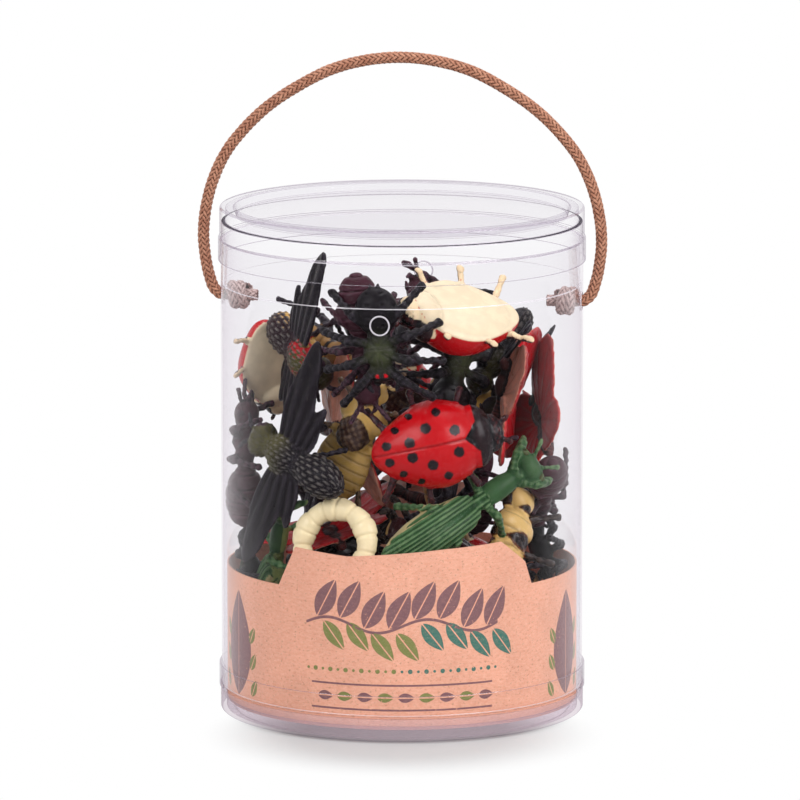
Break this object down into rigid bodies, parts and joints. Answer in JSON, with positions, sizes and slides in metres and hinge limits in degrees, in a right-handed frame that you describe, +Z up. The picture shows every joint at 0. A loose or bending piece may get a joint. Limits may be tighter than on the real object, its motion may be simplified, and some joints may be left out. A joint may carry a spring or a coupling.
{
  "type": "lidded tub of toy insects",
  "caption": "Clear round tub with a lift-off lid, a cord carrying handle, a kraft paper band and a jumble of moulded toy insects inside.",
  "frame": {"origin": "centre of the base's foot ring, on the surface the tub stands on", "axes": "+Z up the tub's axis; X through the two cord holes, so the handle stands in the XZ plane; the band's printed front faces -Y, turned 7 degrees towards +X"},
  "size_m": [0.132, 0.118, 0.213],
  "materials": {
    "clear_plastic": "clear polished sheet",
    "kraft_paper": "matt brown kraft board",
    "cord_braid": "braided brown cord",
    "toy_red": "painted soft plastic",
    "toy_black": "soft plastic",
    "toy_maroon": "soft plastic",
    "toy_green": "soft plastic",
    "toy_purple": "soft plastic",
    "toy_crimson": "painted soft plastic",
    "toy_yellow": "soft plastic",
    "toy_cream": "soft plastic",
    "toy_tan": "soft plastic"
  },
  "bodies": {
    "tub": {"tube": "clear_plastic", "base_cap": "clear_plastic", "kraft_band": "kraft_paper", "ladybird_front": "toy_red", "hornet_front": "toy_black", "spider_front": "toy_black", "mantis_front": "toy_green", "grub_left": "toy_cream", "ladybird_upturned": "toy_red", "beetle_upturned": "toy_tan", "hornet_left": "toy_maroon", "spider_right": "toy_black", "butterfly_right": "toy_crimson", "ant_left": "toy_maroon", "ant_top": "toy_maroon", "cricket_right": "toy_purple", "cockroach_belly": "toy_tan", "beetle_right": "toy_maroon", "mantis_left": "toy_green", "ant_right": "toy_maroon", "beetle_floor": "toy_black", "larva_floor": "toy_yellow", "cricket_floor": "toy_purple", "spider_floor": "toy_black", "beetle_middle": "toy_maroon", "larva_middle": "toy_yellow", "cockroach_middle": "toy_black", "mantis_middle": "toy_green", "spider_middle": "toy_black", "grub_back": "toy_cream", "ladybird_back": "toy_red", "beetle_back": "toy_black", "hornet_back": "toy_black", "ant_back": "toy_maroon"},
    "lid": {"lid": "clear_plastic"},
    "handle": {"handle_cord": "cord_braid", "left_knot": "cord_braid", "right_knot": "cord_braid"}
  },
  "joints": [
    {"name": "lid_lift", "type": "slide", "parent": "tub", "child": "lid", "axis": [0, 0, 1], "range_m": [0, 0.009]},
    {"name": "handle_swing", "type": "hinge", "parent": "tub", "child": "handle", "pos_m": [0, 0, 0.1335], "axis": [1, 0, 0], "range_deg": [-125, 125]}
  ]
}
